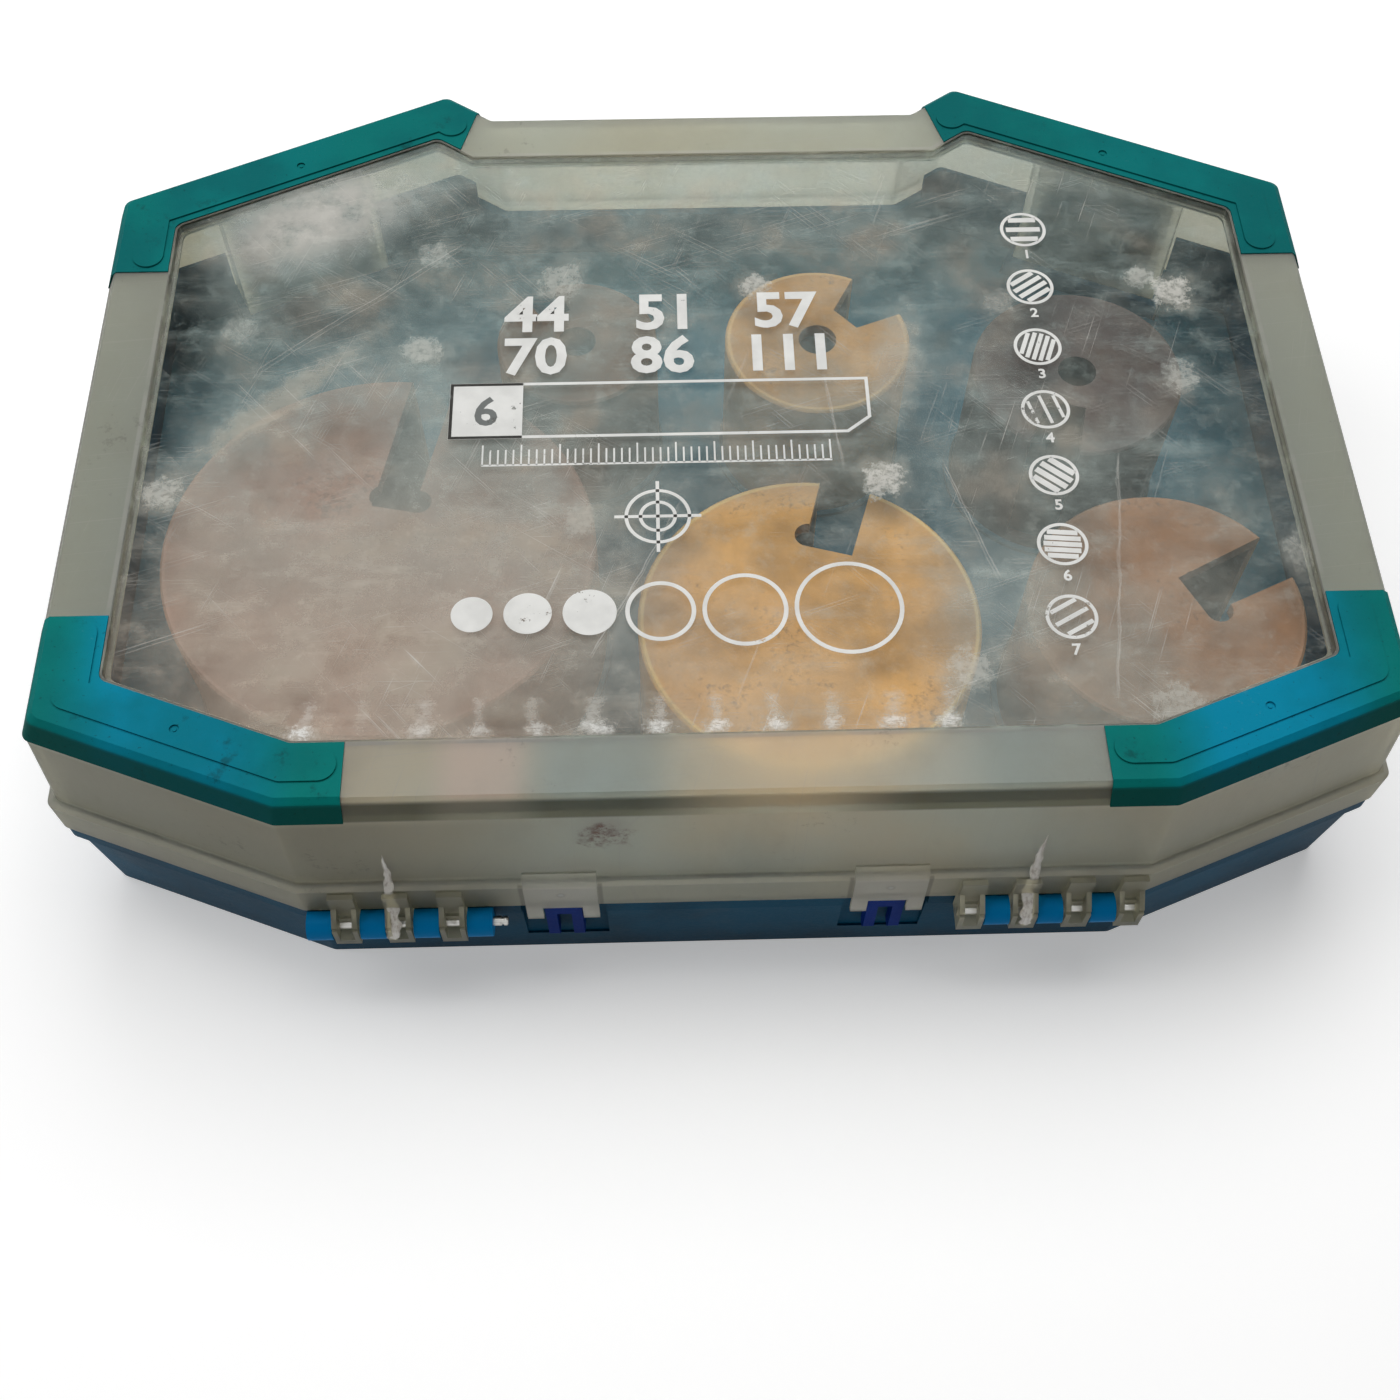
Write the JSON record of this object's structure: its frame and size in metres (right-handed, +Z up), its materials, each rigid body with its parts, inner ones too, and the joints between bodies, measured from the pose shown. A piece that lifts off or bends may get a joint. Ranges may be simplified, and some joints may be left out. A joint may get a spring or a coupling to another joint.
{
  "type": "saw blade storage case",
  "caption": "Plastic carrying case for hole saws: clear window lid with soft corner guards on side-by-side hinges, corner latches, folding carry handle, and a tray of saws standing inside.",
  "frame": {"origin": "middle of the flat underside of the base, on the shells' plane of symmetry", "axes": "+X along the case's length, +Y from the hinge side to the carry handle, +Z up through the lid"},
  "size_m": [0.3412, 0.2523, 0.0859],
  "materials": {
    "base_plastic": "dark blue moulded plastic, slightly worn",
    "tray_plastic": "dark blue-grey vacuum-formed sheet",
    "keeper_plastic": "navy moulded plastic",
    "latch_plastic": "blue moulded plastic",
    "lid_plastic": "frosted, yellowed, see-through at the thin walls",
    "window_plastic": "clear, scratched and dusty",
    "guard_rubber": "soft teal overmould, satin",
    "pin_steel": "plain drawn wire",
    "saw_gold": "orange-gold paint, used",
    "saw_amber": "orange-brown paint, used",
    "saw_brown": "dark brown paint, used",
    "saw_dusty": "dull pink-brown paint, dusty",
    "tooth_carbide": "ground hard metal"
  },
  "bodies": {
    "base": {"base_shell": "base_plastic", "tray_insert": "tray_plastic", "hinge_pin_left": "pin_steel", "hinge_pin_right": "pin_steel", "hinge_side_keeper_left": "keeper_plastic", "hinge_side_keeper_right": "keeper_plastic", "handle_pin_left": "pin_steel", "handle_pin_right": "pin_steel", "latch_pin_left": "pin_steel", "latch_pin_right": "pin_steel", "hole_saw_44": "saw_brown", "hole_saw_51": "saw_amber", "hole_saw_57": "saw_brown", "hole_saw_70": "saw_amber", "hole_saw_86": "saw_gold", "hole_saw_111": "saw_dusty", "saw_teeth_44": "tooth_carbide", "saw_teeth_51": "tooth_carbide", "saw_teeth_57": "tooth_carbide", "saw_teeth_70": "tooth_carbide", "saw_teeth_86": "tooth_carbide", "saw_teeth_111": "tooth_carbide"},
    "lid": {"lid_shell": "lid_plastic", "lid_window": "window_plastic", "corner_guard_hinge_left": "guard_rubber", "corner_guard_hinge_right": "guard_rubber", "corner_guard_handle_left": "guard_rubber", "corner_guard_handle_right": "guard_rubber"},
    "handle": {"carry_handle": "latch_plastic"},
    "left_latch": {"latch_left": "latch_plastic"},
    "right_latch": {"latch_right": "latch_plastic"}
  },
  "joints": [
    {"name": "lid_hinge", "type": "hinge", "parent": "base", "child": "lid", "pos_m": [0, -0.12505, 0.0334], "axis": [1, 0, 0], "range_deg": [0, 110]},
    {"name": "handle_pivot", "type": "hinge", "parent": "base", "child": "handle", "pos_m": [0, 0.11705, 0.03], "axis": [1, 0, 0], "range_deg": [0, 90]},
    {"name": "latch_left_pivot", "type": "hinge", "parent": "base", "child": "left_latch", "pos_m": [-0.12334, 0.09551, 0.019], "axis": [-0.9086, -0.4177, 0], "range_deg": [0, 95]},
    {"name": "latch_right_pivot", "type": "hinge", "parent": "base", "child": "right_latch", "pos_m": [0.12334, 0.09551, 0.019], "axis": [-0.9086, 0.4177, 0], "range_deg": [0, 95]}
  ]
}
